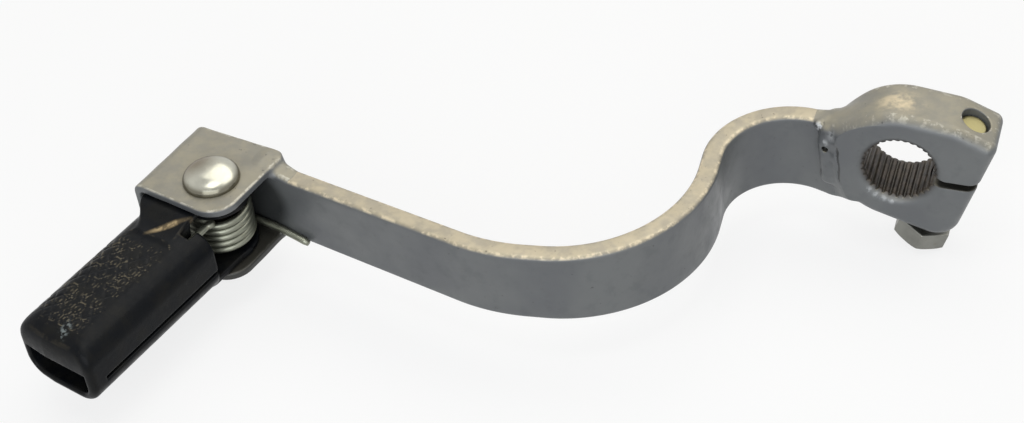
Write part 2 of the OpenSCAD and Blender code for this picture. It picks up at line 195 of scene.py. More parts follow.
# From here to the tip the arm's two edges are level.
LEVEL_X = END[0] + 13.4 * math.cos(TIP_TURN)


def arm_top(x):
    return np.interp(x, (LEVEL_X, 0), (ARM_TOP_TIP, ARM_TOP_ROOT))


def arm_low(x):
    """Height of the arm's lower edge; it is drawn in where it runs under the boss."""
    drawn_in = 0.07 * np.maximum(0, np.asarray(x) + 15) ** 2
    stations, levels = (LEVEL_X, -45.0, -13.1), (ARM_LOW_TIP, ARM_LOW_MIDDLE, ARM_LOW_ROOT)
    shifts = range(-8, 9, 2)
    return drawn_in + sum(np.interp(x + d, stations, levels) for d in shifts) / len(shifts)


def placed(points, angle, origin):
    """Points of a local frame, turned about Z and moved to its origin."""
    p = np.asarray(points, float)
    c, s = math.cos(angle), math.sin(angle)
    return np.stack([origin[0] + c * p[:, 0] - s * p[:, 1], origin[1] + s * p[:, 0] + c * p[:, 1], p[:, 2]], 1)


# ---------------------------------------------------------------- distance fields
def cells(low, high, pitch):
    axes = [np.arange(a, b + pitch, pitch, dtype=np.float32) for a, b in zip(low, high)]
    return np.meshgrid(*axes, indexing="ij", sparse=True)


def rounded_box(x, y, hx, hy, r):
    qx, qy = np.abs(x) - (hx - r), np.abs(y) - (hy - r)
    return np.hypot(np.maximum(qx, 0), np.maximum(qy, 0)) + np.minimum(np.maximum(qx, qy), 0) - r


def soft_union(a, b, k):
    h = np.clip(0.5 + 0.5 * (b - a) / k, 0, 1)
    return b * (1 - h) + a * h - k * h * (1 - h)


def soft_cut(a, b, k):
    """What is inside a and outside b."""
    return -soft_union(-a, b, k)


def both(a, b, r):
    """What is inside a and inside b, with a rounding of r where they meet."""
    qa, qb = a + r, b + r
    return np.hypot(np.maximum(qa, 0), np.maximum(qb, 0)) + np.minimum(np.maximum(qa, qb), 0) - r


def ramp(value, start, length):
    """0 up to the start, 1 from a length after it, straight between."""
    return np.clip((value - start) / length, 0, 1)


def polygon_distance(x, y, points):
    """Signed distance to a closed outline, negative inside."""
    x, y = np.broadcast_arrays(x, y)
    best = np.full(x.shape, 1e9, np.float32)
    inside = np.zeros(x.shape, bool)
    for (ax, ay), (bx, by) in zip(points, points[1:] + points[:1]):
        ex, ey = bx - ax, by - ay
        t = np.clip(((x - ax) * ex + (y - ay) * ey) / (ex * ex + ey * ey), 0, 1)
        best = np.minimum(best, (x - ax - t * ex) ** 2 + (y - ay - t * ey) ** 2)
        if ay != by:
            inside ^= ((ay > y) != (by > y)) & (x < ax + (y - ay) * ex / ey)
    return np.where(inside, -1, 1) * np.sqrt(best)


def hull_of_circles(circles, half_sides=60):
    """Outline around circles, each given as centre x, centre y and radius."""
    pts = [(cx + r * math.cos(k * math.pi / half_sides), cy + r * math.sin(k * math.pi / half_sides))
           for cx, cy, r in circles for k in range(2 * half_sides)]
    return [pts[i] for i in convex_hull_2d(pts)]


def wobble(x, y, z, size, seed):
    """Smooth, even unevenness between about -1 and 1, with features of that size."""
    rng = np.random.RandomState(seed)
    total = 0
    for _ in range(5):
        d = rng.normal(size=3)
        d *= (0.7 + 0.6 * rng.rand()) * math.tau / size / np.linalg.norm(d)
        total = total + np.sin(d[0] * x + d[1] * y + d[2] * z + rng.rand() * math.tau)
    return total / 3


# ---------------------------------------------------------------- meshes
def add_edge(mesh, values):
    """How convex the surface is at each point; the materials place wear, painted highlights, painted glints and
    darkening in the hollows by it.
    """
    values = np.asarray(values, np.float32).reshape(-1)
    mesh.attributes.new("edge", "FLOAT", "POINT").data.foreach_set("value", values)


def finished(name, mesh):
    """The mesh as a smooth object in the scene, with its normals facing out."""
    mesh.validate()
    mesh.update()
    mesh.shade_smooth()
    obj = bpy.data.objects.new(name, mesh)
    bpy.context.scene.collection.objects.link(obj)
    inside = Vector(mesh.vertices[0].co)
    if sum(p.area * p.normal.dot(p.center - inside) for p in mesh.polygons) < 0:
        mesh.flip_normals()
    return obj


def skin(name, field, low, pitch, angle=0.0, origin=(0.0, 0.0)):
    """Mesh of the field's zero surface, in the row frame, with its convexity as an attribute."""
    band = 3 * pitch
    field = np.ascontiguousarray(field, dtype=np.float32)
    volume = openvdb.FloatGrid(band)
    volume.copyFromArray(np.clip(field, -band, band))
    points, quads = volume.convertToQuads(isovalue=0.0)
    index = np.clip(np.rint(points).astype(int), 1, np.array(field.shape) - 2)
    i, j, k = index.T
    bend = (field[i + 1, j, k] + field[i - 1, j, k] + field[i, j + 1, k] + field[i, j - 1, k]
            + field[i, j, k + 1] + field[i, j, k - 1] - 6 * field[i, j, k]) / pitch ** 2
    local = points * pitch + np.array(low)
    mesh = bpy.data.meshes.new(name)
    mesh.from_pydata((placed(local, angle, origin) * MM).tolist(), [], quads[:, ::-1].tolist())
    add_edge(mesh, np.clip(bend, -3, 3))
    return finished(name, mesh)


def rings_mesh(name, rings, edge=None):
    """Closed mesh through rings of points, in mm, each with the same number of points."""
    rings = np.asarray(rings, float)
    n, m = rings.shape[:2]
    faces = [(i * m + j, i * m + (j + 1) % m, (i + 1) * m + (j + 1) % m, (i + 1) * m + j)
             for i in range(n - 1) for j in range(m)]
    faces += [tuple(range(m - 1, -1, -1)), tuple((n - 1) * m + j for j in range(m))]
    mesh = bpy.data.meshes.new(name)
    mesh.from_pydata((rings.reshape(-1, 3) * MM).tolist(), [], faces)
    add_edge(mesh, np.zeros(n * m) if edge is None else edge)
    return finished(name, mesh)


def tube(name, centres, radius, sides):
    """Round wire along a line of points, a little thinner at both ends."""
    p = np.asarray(centres, float)
    t = np.gradient(p, axis=0)
    t /= np.linalg.norm(t, axis=1)[:, None]
    side = np.cross(t, [0, 0, 1.0])
    side /= np.linalg.norm(side, axis=1)[:, None]
    up = np.cross(side, t)
    a = np.arange(sides) * math.tau / sides
    grow = np.ones(len(p))
    grow[[0, -1]] = 0.8
    rings = (p[:, None] + (radius * grow)[:, None, None]
             * (np.cos(a)[None, :, None] * side[:, None] + np.sin(a)[None, :, None] * up[:, None]))
    return rings_mesh(name, rings)


def lathe(name, profile, angle, origin, sides=128):
    """Body of revolution about a vertical line, from (radius, height) pairs."""
    a = np.arange(sides) * math.tau / sides
    rings = [[(r * math.cos(b), r * math.sin(b), z) for b in a] for r, z in profile]
    return rings_mesh(name, [placed(ring, angle, origin) for ring in rings])


# ---------------------------------------------------------------- the boss
INSET = 0.02


def arm_root(x, y, z):
    """The arm's first run, which the boss and the weld grow out of; it sinks into the arm's own piece."""
    xy = np.broadcast_arrays(x[:, :, 0], y[:, :, 0])
    side = np.full(xy[0].shape, 1e9)
    along = np.zeros(xy[0].shape)
    half_step = 0.31
    for n, s in enumerate(PATH[:ROOT_STATES]):
        dx, dy = xy[0] - s[0], xy[1] - s[1]
        run = dx * math.cos(s[2]) + dy * math.sin(s[2])
        off = -dx * math.sin(s[2]) + dy * math.cos(s[2])
        near = np.hypot(np.maximum(np.abs(run) - half_step, 0), off)
        pick = near < side
        side = np.where(pick, near, side)
        along = np.where(pick, n * PATH_STEP + run, along)
    side, along = side[:, :, None], along[:, :, None]
    top, bottom = arm_top(x), arm_low(x)
    middle, half = (top + bottom) / 2, (top - bottom) / 2
    root = rounded_box(side, z - middle, ARM_T / 2, half, ARM_ROUND)
    sink = ramp(along, 9.5, 4)
    return np.maximum(root + 0.04 + 0.5 * sink ** 2, along - 13.8)


def welded(body, x, y, z):
    """The body with the weld's ridges, lumps, unevenness, creases and pit."""
    for points, reach in WELD_RIDGES:
        xs, ys, heights = zip(*points[::-1])
        cx, cy, cz = np.interp(z, heights, xs), np.interp(z, heights, ys), np.clip(z, heights[0], heights[-1])
        ridge = (np.sqrt(((x - cx) / 1.5) ** 2 + (y - cy) ** 2 + (z - cz) ** 2) - reach) * 0.85
        body = soft_union(body, ridge, 0.8)
    for cx, cy, cz, r in WELD_LUMPS:
        lump = np.sqrt((x - cx) ** 2 + (y - cy) ** 2 + (0.8 * (z - cz)) ** 2) - r
        body = soft_union(body, lump, 0.6)
    near_weld = np.exp(-(((x + 13.9) / 2.0) ** 2 + ((z - 1.5) / 7) ** 2))
    body = body + near_weld * (0.09 * wobble(x, y, z, 3.2, 4) + 0.07 * ramp(z, 0.5, 2) * wobble(x, y, z, 1.9, 5))
    front = np.clip(-y - 1, 0, 1)
    for at, slope, low_end, high_end in WELD_CREASES:
        middle = at + slope * z
        fade = ramp(z, low_end, 2) * np.clip((high_end - z) / 2, 0, 1)
        body = body + 0.42 * front * fade * np.exp(-((x - middle + 0.10 * np.sin(1.3 * z)) / 0.36) ** 2)
    pit = np.sqrt((x - PIT[0]) ** 2 + (0.5 * (y - PIT[1])) ** 2 + (0.8 * (z - PIT[2])) ** 2) - 0.6
    body = soft_cut(body, pit, 0.1)
    return np.maximum(body, np.abs(y) - BOSS_W / 2 + INSET)


def boss_piece():
    """Clamp boss with its serrated bore, the root of the arm and the weld between them."""
    pitch = 0.16
    low, high = (-25.0, -8.6, -15.4), (17.8, 8.0, 15.4)
    x, y, z = cells(low, high, pitch)
    p = x * math.cos(LEAN) - z * math.sin(LEAN)
    w = x * math.sin(LEAN) + z * math.cos(LEAN)
    outline = hull_of_circles([(0, 0, EYE_R), (JAW_REACH - CROWN_R - 0.3, CROWN_TOP - CROWN_R, CROWN_R),
                               (JAW_REACH - UPPER_CORNER, JAW_UP - UPPER_CORNER, UPPER_CORNER),
                               (JAW_REACH - LOWER_CORNER, LOWER_CORNER - JAW_DOWN, LOWER_CORNER)])
    flat = polygon_distance(p, w, outline)
    body = both(flat + INSET, np.abs(y) - BOSS_W / 2 + INSET, BOSS_ROUND)
    body = soft_union(body, arm_root(x, y, z), 3.2 + 3.4 * ramp(z, 2, 4))
    body = welded(body, x, y, z)

    # Bore with its serrations and mouths.
    r = np.hypot(x, z)
    a = np.arctan2(z, x)
    spacing = math.tau / TEETH
    off = np.abs((a + spacing / 2) % spacing - spacing / 2) * r
    groove = np.maximum(off - GROOVE_W / 2 + (r - CREST_R) * GROOVE_TAPER, r - ROOT_R)
    bore = np.minimum(r - CREST_R, groove)
    slope = (MOUTH_R - CREST_R) / MOUTH_DEPTH
    mouth = (r - MOUTH_R - slope * (np.abs(y) - BOSS_W / 2)) / math.hypot(1, slope)
    body = soft_cut(body, mouth, 0.5)
    body = np.maximum(body, -bore)

    # Slit, and the bolt's holes.
    slit = np.maximum(np.abs(z - SLIT_Z) - SLIT_W / 2, -x)
    body = soft_cut(body, slit, 0.35)
    hole = np.hypot(p - BOLT_OUT, y) - np.where(w > SLIT_Z, HOLE_UP_R, HOLE_DOWN_R)
    body = soft_cut(body, hole, 0.3)
    return skin("boss_cast", body, low, pitch)


# ---------------------------------------------------------------- the other pieces
def arm_piece():
    """Flat bar on edge, swept along its bends, with rounded long edges."""
    corner = [k * 90 / 7 for k in range(8)]
    rows = 12
    rings, edge = [], []
    for s in PATH[ARM_FIRST:]:
        w, hi, lo = ARM_T / 2 - ARM_ROUND, arm_top(s[0]) - ARM_ROUND, arm_low(s[0]) + ARM_ROUND
        section, wear_and_highlight = [], []
        for cx, cz, first in ((w, hi, 0), (-w, hi, 90), (-w, lo, 180), (w, lo, 270)):
            for c in corner:
                b = math.radians(first + c)
                section.append((cx + ARM_ROUND * math.cos(b), cz + ARM_ROUND * math.sin(b)))
                wear_and_highlight.append(1 - abs(c - 45) / 45 * 0.6)
            if first in (90, 270):
                face, from_z, to_z = (-ARM_T / 2, hi, lo) if first == 90 else (ARM_T / 2, lo, hi)
                section += [(face, from_z + (to_z - from_z) * k / rows) for k in range(1, rows)]
                wear_and_highlight += [0.0] * (rows - 1)
        rings.append([(s[0] - q * math.sin(s[2]), s[1] + q * math.cos(s[2]), z) for q, z in section])
        edge.append(wear_and_highlight)
    return rings_mesh("arm_bar_bent", rings, edge)


def bracket_piece():
    """Folded U bracket at the tip, with the beads that join it to the arm."""
    pitch = 0.16
    low, high = (-14.8, -10.0, -15.4), (17.0, 13.4, 7.0)
    x, y, z = cells(low, high, pitch)
    x0, x1, y0, y1 = -WALL_REACH, 8.4, -8.3, 11.3
    sharp, blunt, rear = 0.5, 5.5, 2.0
    outline = hull_of_circles([(x0 + sharp, y0 + sharp, sharp), (x1 - blunt, y0 + blunt, blunt),
                               (x1 - rear, y1 + 1.4 - rear, rear), (x0 + sharp, y1 - sharp, sharp)])
    plan = polygon_distance(x[:, :, 0], y[:, :, 0], outline)[:, :, None]
    z_mid, z_half, reach = (ARM_TOP_TIP + ARM_LOW_TIP) / 2, (ARM_TOP_TIP - ARM_LOW_TIP) / 2 + PLATE_T, 40.0
    outer = rounded_box(x + WALL_REACH - reach, z - z_mid, reach, z_half, FOLD_R)
    inner = rounded_box(x + WALL_REACH - PLATE_T - reach, z - z_mid, reach, z_half - PLATE_T, FOLD_R - PLATE_T)
    sheet = np.maximum(outer, -inner)
    body = both(sheet, plan, 0.45)
    # Beads that ramp from the plates' edges down to the arm.
    bead_x, bead_run, bead_y, bead_r = 5.6, 6.8, 9.6, 1.4
    for level, out in ((ARM_TOP_TIP, 1), (ARM_LOW_TIP, -1)):
        t = ramp(x, bead_x, bead_run)
        across = np.maximum(np.abs(y - bead_y + 0.3 * t) - 1.0 + 0.1 * t, 0)
        away = np.sqrt((x - bead_x - bead_run * t) ** 2 + across ** 2 + (z - level - out * (0.1 - 1.2 * t)) ** 2)
        body = soft_union(body, away - (bead_r - 0.3 * t), 1.5)
    body = body + 0.03 * wobble(x, y, z, 6.0, 11)
    return skin("bracket_folded", body, low, pitch, TIP_TURN, PIVOT)


def hatching(sx, sz, y, hw, hh, r):
    """How deep the cross-hatching is cut, drawn along the way round the section and along the sleeve."""
    qx, qz = np.abs(sx) - (hw - r), np.abs(sz) - (hh - r)
    arc = np.arctan2(np.maximum(qx, 0), np.maximum(qz, 1e-4)) * r
    round_way = np.minimum(np.abs(sx), hw - r) + arc + np.maximum(-qz, 0) * (qx > 0)
    round_way = round_way * np.where(sx < 0, -1, 1)

    def ridge(v):
        return np.abs((v / HATCH_STEP) % 1 - 0.5) * 2
    hatch = np.minimum(ridge(round_way * 0.8 + y * 0.62), ridge(round_way * 0.8 - y * 0.62))
    zone = np.clip((-y - 16.5) / 3, 0, 1) * ramp(y, -42.5, 2.0)
    zone = zone * np.clip((5.4 - sx) / 2.5, 0, 1) * ramp(sz, -1.0, 2.5)
    return HATCH_DEPTH * zone * (1 - np.clip(hatch * 2.4, 0, 1))


def peg_piece():
    """Pressed sleeve with a cross-hatched grip, an open end, a seam, and two ears."""
    pitch = 0.17
    low, high = (-13.0, -46.8, -13.4), (8.8, 8.2, 4.4)
    x, y, z = cells(low, high, pitch)
    hw, hh, r, mid = 9.3, 7.05, 4.6, PEG_MID - 0.25
    top, lip = mid + hh, mid - hh + PEG_WALL + 5.5
    sx, sz = x + 1.6, z - mid
    section = rounded_box(sx, sz, hw, hh, r)
    hollow = rounded_box(sx, sz, hw - PEG_WALL, hh - PEG_WALL, r - PEG_WALL)
    rubbed = np.clip(0.6 + 0.45 * wobble(x, y, z, 5.0, 3) + 0.5 * wobble(x, y, z, 2.1, 7), 0, 1.1)
    section = section + hatching(sx, sz, y, hw, hh, r) * rubbed

    # The sleeve: its top is rounded down to the mouth, and its wall is open below the lip.
    mouth, slant = -45.8, 0.09
    end = mouth - y - slant * np.minimum(sx + 2, 0)
    outer = both(both(section, end, 1.8), y + 9.9, 0.7)
    outer = -soft_union(-outer, -both(end, z - top - 1.5, 7.0), 2.0)
    inner = np.maximum(hollow, np.minimum(both(-43.8 - y, z - top + PEG_WALL, 3.5), z - lip))
    wall = soft_cut(outer, inner, 0.8)
    seam_z, seam_half, seam_end = mid - hh + 4.95, 0.35, -41.5
    seam = np.maximum(np.maximum(np.abs(z - seam_z) - seam_half, -sx), seam_end - y)
    body = soft_cut(wall, seam, 0.5)

    # Ears: their inner face, the way out, the sleeve's face that they join, their right side, and the hub.
    for face, way, joined, right, hub in ((3.1, -1, top, 2.1, 3.0), (-11.6, 1, mid - hh, 6.6, 1.4)):
        t = np.clip((-y - 8.8) / 6.6, 0, 1)
        t = t * t * (3 - 2 * t)
        centre = face + way * EAR_T / 2 + (joined - face) * t
        left = np.where(y < -EAR_R, -10.4 + 4.0 * t, -EAR_R)
        disc = np.hypot(x, y) - EAR_R
        right_side = right + (min(right, 2.6) - right) * t
        strip = np.maximum(np.maximum(left - x, x - right_side), np.maximum(-15.6 - y, y))
        ear = both(soft_union(disc, strip, 1.0), np.abs(z - centre) - EAR_T / 2, 0.35)
        body = soft_union(body, ear, 1.4)
        body = np.minimum(body, both(disc, np.abs(z - face - way * hub / 2) - hub / 2, 0.3))
    # Notch for the spring's short leg.
    notch_x, notch_half, notch_front, notch_back, notch_floor = 3.25, 0.95, -12.5, -7.0, -1.75
    notch = np.maximum(np.abs(x - notch_x) - notch_half, np.maximum(notch_front - y, y - notch_back))
    notch = np.maximum(notch, notch_floor - z)
    body = soft_cut(body, notch, 0.3)
    body = np.maximum(body, RIVET_R + 0.05 - np.hypot(x, y))
    return skin("peg_pressed", body, low, pitch, PEG_TURN, PIVOT)


def rivet_piece():
    """Pivot rivet: a full dome on the upper plate, the shank, and a flatter tail below."""
    top = ARM_TOP_TIP + PLATE_T
    bottom = ARM_LOW_TIP - PLATE_T
    dome = [(0.02, top + DOME_H)]
    for v in range(3, 88, 3):
        b = math.radians(v)
        dome.append((DOME_R * math.sin(b) ** 0.92, top + DOME_H * math.cos(b) ** 0.86))
    dome += [(DOME_R, top + 0.12), (DOME_R - 0.05, top - 0.1)]
    shank = [(RIVET_R, top - 0.1), (RIVET_R, bottom + 0.1), (TAIL_R - 0.1, bottom + 0.1)]
    ball = (TAIL_R ** 2 + TAIL_H ** 2) / (2 * TAIL_H)
    reach = math.asin(TAIL_R / ball)
    tail = [(ball * math.sin(reach * k / 12), bottom - TAIL_H + ball - ball * math.cos(reach * k / 12))
            for k in range(12, 0, -1)]
    tail.append((0.02, bottom - TAIL_H))
    return lathe("rivet_domed", dome + shank + tail, TIP_TURN, PIVOT)


def spring_piece():
    """Coil round the rivet, a long leg to the arm's face, and a short leg into the peg's notch."""
    low, high = COIL_SEAT_LOW + PLAY + WIRE_R, COIL_SEAT_HIGH - PLAY - WIRE_R
    first, last, rise = 90, 295, 1.02 * 2 * WIRE_R
    part = (last - first) / 360
    sweep = 360 * (math.floor((high - low) / rise - part) + part)
    n = round(sweep / 8)
    coil = []
    for k in range(n + 1):
        a = math.radians(first + sweep * k / n)
        coil.append((COIL_R * math.cos(a), COIL_R * math.sin(a), low + (high - low) * k / n))
    leg_x, leg_y = 15.6, PIVOT_OFF - ARM_T / 2 - WIRE_R - PLAY
    leg = [(leg_x - leg_x * t, leg_y + (COIL_R - leg_y) * t ** 3, low - 1.5 * (1 - t) ** 2)
           for t in np.linspace(0, 0.93, 16)]
    x, y, z = coil[-1]
    steps = np.linspace(0.15, 1, 8)
    hook = [(x + 0.375 * math.sin(t * math.pi / 2) + 0.5 * math.sin(t * math.pi), y - 1.6 * t ** 1.5, z)
            for t in steps]
    x, y, z = hook[-1]
    hook += [(x, y + (-12.2 - y) * t, z) for t in steps]
    return tube("spring_wound", placed(leg + coil + hook, TIP_TURN, PIVOT), WIRE_R, 16)


def bolt_piece():
    """Hexagon-headed pinch bolt, on its leaning axis, with its end in the upper jaw."""
    head_top = -(JAW_DOWN + HEAD_GAP)
    pitch, margin, half = 0.13, 0.8, 6.4
    low, high = (-half, -half, head_top - HEAD_H - margin), (half, half, JAW_UP - BOLT_RECESS + margin)
    x, y, z = cells(low, high, pitch)
    flats = np.maximum(np.abs(0.5 * x + 0.866 * y), np.abs(0.5 * x - 0.866 * y))
    hexagon = np.maximum(np.abs(x), flats) - HEAD_AF / 2
    r = np.hypot(x, y)
    cone = (r - HEAD_AF / 2 + 0.1 - (z - head_top + HEAD_H) * 1.8) / 2.06
    head = both(both(hexagon, np.maximum(head_top - HEAD_H - z, z - head_top), 0.25), cone, 0.1)
    thread = 0.2 * np.abs(((z - np.arctan2(y, x) / math.tau) % 1.0) - 0.5) * 2 * (z > -6)
    shank = both(r - BOLT_R + thread, np.maximum(head_top - 1 - z, z - (JAW_UP - BOLT_RECESS)), 0.5)
    bolt = skin("bolt_hex", soft_union(head, shank, 0.4), low, pitch)
    place = Matrix.Rotation(LEAN, 4, "Y") @ Matrix.Translation((BOLT_OUT * MM, 0, 0))
    bolt.data.transform(place)
    return bolt


# ---------------------------------------------------------------- materials
def rgb(r, g, b):
    """Display colour, 0 to 255, as the linear colour that a shader wants."""
    lin = [c / 12.92 if c <= 0.04045 else ((c + 0.055) / 1.055) ** 2.4 for c in (r / 255, g / 255, b / 255)]
    return (*lin, 1.0)


class Nodes:
    """Short names for the nodes of one material."""

    def __init__(self, name):
        self.mat = bpy.data.materials.new(name)
        self.mat.use_nodes = True
        self.tree = self.mat.node_tree
        self.tree.nodes.clear()
        self.shader = self.add("ShaderNodeBsdfPrincipled")
        self.out = self.add("ShaderNodeOutputMaterial").inputs[0]
        self.link(self.shader.outputs[0], self.out)
        self.place = self.add("ShaderNodeTexCoord").outputs["Object"]

    def add(self, kind):
        return self.tree.nodes.new(kind)

    def link(self, a, b):
        self.tree.links.new(a, b)

    def put(self, socket, value):
        """Link an output to the socket, or set a plain value on it."""
        if hasattr(value, "is_output"):
            self.link(value, socket)
        else:
            socket.default_value = value

    def noise(self, scale, detail=2.0, rough=0.5):
        n = self.add("ShaderNodeTexNoise")
        self.link(self.place, n.inputs["Vector"])
        for key, value in (("Scale", scale), ("Detail", detail), ("Roughness", rough)):
            n.inputs[key].default_value = value
        return n.outputs["Fac"]

    def range(self, value, a, b, lo=0.0, hi=1.0):
        """The value taken smoothly from a..b to lo..hi."""
        n = self.add("ShaderNodeMapRange")
        n.interpolation_type = "SMOOTHSTEP"
        for key, v in (("Value", value), ("From Min", a), ("From Max", b), ("To Min", lo), ("To Max", hi)):
            self.put(n.inputs[key], v)
        return n.outputs[0]

    def grain(self, scale, detail, rough, a, b, lo=0.0, hi=1.0):
        """Noise, taken smoothly from a..b to lo..hi."""
        return self.range(self.noise(scale, detail, rough), a, b, lo, hi)

    def math(self, kind, a, b=0.0, clamp=False):
        n = self.add("ShaderNodeMath")
        n.operation, n.use_clamp = kind, clamp
        self.put(n.inputs[0], a)
        self.put(n.inputs[1], b)
        return n.outputs[0]

    def times(self, a, b, clamp=False):
        return self.math("MULTIPLY", a, b, clamp)

    def mix(self, factor, a, b):
        n = self.add("ShaderNodeMix")
        n.data_type = "RGBA"
        self.put(n.inputs["Factor"], factor)
        self.put(n.inputs["A"], a)
        self.put(n.inputs["B"], b)
        return n.outputs["Result"]

    def attribute(self, name):
        n = self.add("ShaderNodeAttribute")
        n.attribute_name = name
        return n.outputs["Fac"]

    def facing(self, axis):
        """How far the surface faces along that axis: -1 to 1."""
        n = self.add("ShaderNodeNewGeometry")
        s = self.add("ShaderNodeSeparateXYZ")
        self.link(n.outputs["Normal"], s.inputs[0])
        return s.outputs[axis]

    def at(self, axis):
        """The point's own coordinate along that axis, in metres."""
        s = self.add("ShaderNodeSeparateXYZ")
        self.link(self.place, s.inputs[0])
        return s.outputs[axis]

    def blob(self, centre, sizes, angle=0.0):
        """1 at a place of the row frame, falling to 0 at the given distances, in mm."""
        m = self.add("ShaderNodeMapping")
        m.vector_type = "TEXTURE"
        m.inputs["Location"].default_value = [c * MM for c in centre]
        m.inputs["Rotation"].default_value = (0, 0, angle)
        m.inputs["Scale"].default_value = [s * MM for s in sizes]
        self.link(self.place, m.inputs["Vector"])
        v = self.add("ShaderNodeVectorMath")
        v.operation = "LENGTH"
        self.link(m.outputs[0], v.inputs[0])
        return self.range(v.outputs["Value"], 1.0, 0.2)

    def bump(self, heights):
        """Heights in mm, as (field, depth) pairs."""
        total = None
        for field, depth in heights:
            part = self.times(field, depth)
            total = part if total is None else self.math("ADD", total, part)
        b = self.add("ShaderNodeBump")
        b.inputs["Distance"].default_value = MM
        b.inputs["Strength"].default_value = 1.0
        self.link(total, b.inputs["Height"])
        self.link(b.outputs[0], self.shader.inputs["Normal"])

    def surface(self, color, roughness, metallic):
        self.put(self.shader.inputs["Base Color"], color)
        self.put(self.shader.inputs["Roughness"], roughness)
        self.put(self.shader.inputs["Metallic"], metallic)
        return self.mat


def grey_paint(name, boss=False, pale_top=False):
    """Satin grey metallic paint over steel: cloudy and pitted, with upward faces made lighter and warmer, partly
    dust and partly painted light from above, and top edges paler, partly wear and partly painted highlight.

    Pale top gives the arm a warmer, paler colour on its upward faces and paler top edges: partly thicker dust and
    wear, partly painted light."""
    m = Nodes(name)
    patch = m.noise(260, 4, 0.6)
    color = m.mix(m.grain(60, 3, 0.55, 0.35, 0.65), rgb(99, 101, 103), rgb(109, 111, 111))
    color = m.mix(m.range(patch, 0.52, 0.72, 0, 0.35), color, rgb(88, 91, 93))
    # Painted light: faces turned up get a lighter, warmer colour, partly dust and partly painted light from above.
    up = m.range(m.facing("Z"), 0.35, 0.95)
    dust = m.times(up, m.grain(300, 3, 0.6, 0.35, 0.65, 0.6, 0.9))
    color = m.mix(dust, color, rgb(182, 170, 144) if pale_top else rgb(145, 139, 121))
    # Paler top edges: partly wear, partly painted highlight.
    sharp = m.range(m.attribute("edge"), 0.25, 0.6) if boss else m.range(m.attribute("edge"), 0.35, 0.95)
    wear_and_highlight = m.times(sharp, m.grain(700, 3, 0.6, 0.50 if boss else 0.42, 0.62))
    wear_and_highlight = m.times(wear_and_highlight, up, True)
    color = m.mix(m.times(wear_and_highlight, 0.9 if pale_top else 0.6), color, rgb(226, 211, 180) if pale_top else rgb(196, 192, 178))
    pits = m.grain(1500, 2, 0.5, 0.71, 0.76)
    color = m.mix(m.times(pits, 0.55), color, rgb(60, 58, 54))
    color = boss_marks(m, color) if boss else tip_painted_shade(m, color)
    rough = m.range(patch, 0.3, 0.7, 0.34, 0.48)
    m.bump([(m.noise(1100, 2), 0.015), (m.noise(190, 2), 0.08), (pits, -0.05), (wear_and_highlight, -0.02)])
    return m.surface(color, rough, 0.25)


def boss_marks(m, color):
    """Darker in the hollows, the rusty bore, dust on the crown, painted shade in the slit and the pit, and bare
    metal.
    """
    # Darker where the surface is hollow.
    hollow_dark = m.range(m.attribute("edge"), -0.35, -1.3)
    color = m.mix(m.times(hollow_dark, 0.7), color, rgb(52, 52, 50))
    bore = m.blob((0, 0, 0), (8.8, 30, 8.8))
    rusty = m.mix(m.grain(600, 3, 0.5, 0.4, 0.6), rgb(38, 30, 24), rgb(66, 56, 46))
    color = m.mix(m.range(bore, 0.02, 0.2), color, rusty)
    dust = m.times(m.blob(BOSS_DUST, (6.5, 4.2, 4)), m.grain(360, 3, 0.6, 0.36, 0.66, 0, 0.75))
    color = m.mix(dust, color, rgb(214, 196, 162))
    # Painted shade: the walls of the slit and the pit are made nearly black.
    from_slit = m.math("ABSOLUTE", m.math("ADD", m.at("Z"), -SLIT_Z * MM))
    slit_pit_shade = m.times(m.range(from_slit, 0.00095, 0.00074), m.range(m.at("X"), 0.0065, 0.0078))
    slit_pit_shade = m.math("MAXIMUM", slit_pit_shade, m.times(m.blob(PIT_DARK, (0.9, 1.6, 0.9)), 2.0, True))
    color = m.mix(m.times(slit_pit_shade, 0.9), color, rgb(24, 24, 23))
    bare = list(CHIPS)
    for k in range(4):
        a = math.radians(228 + 12 * k)
        bare.append(((7.8 * math.cos(a), 0.1 - BOSS_W / 2, 7.8 * math.sin(a)), 1.0, 0.3))
    for where, size, amount in bare:
        shiny = m.times(m.blob(where, (size, size, size)), m.grain(900, 2, 0.6, 0.40, 0.56))
        color = m.mix(m.times(shiny, amount), color, rgb(216, 218, 219))
    return color


def tip_painted_shade(m, color):
    """Painted shade inside the bracket: a painted shadow between the plates near the pivot, and the low part of the
    tip painted dark.
    """
    # Painted shadow of the upper plate, on the bracket near the pivot.
    shadow_centre = placed([(2.0, 6.6, -4.5)], TIP_TURN, PIVOT)[0]
    shade = m.range(m.blob(shadow_centre, (13, 7.5, 12)), 0.05, 0.6, 0, 0.85)
    color = m.mix(shade, color, rgb(34, 36, 37))
    # Painted shade on the low part of the tip, under the plates.
    low_shade = m.times(m.range(m.at("Z"), -0.0085, -0.0112), m.range(m.at("X"), -0.1105, -0.1150))
    return m.mix(m.times(low_shade, 0.92), color, rgb(44, 43, 39))


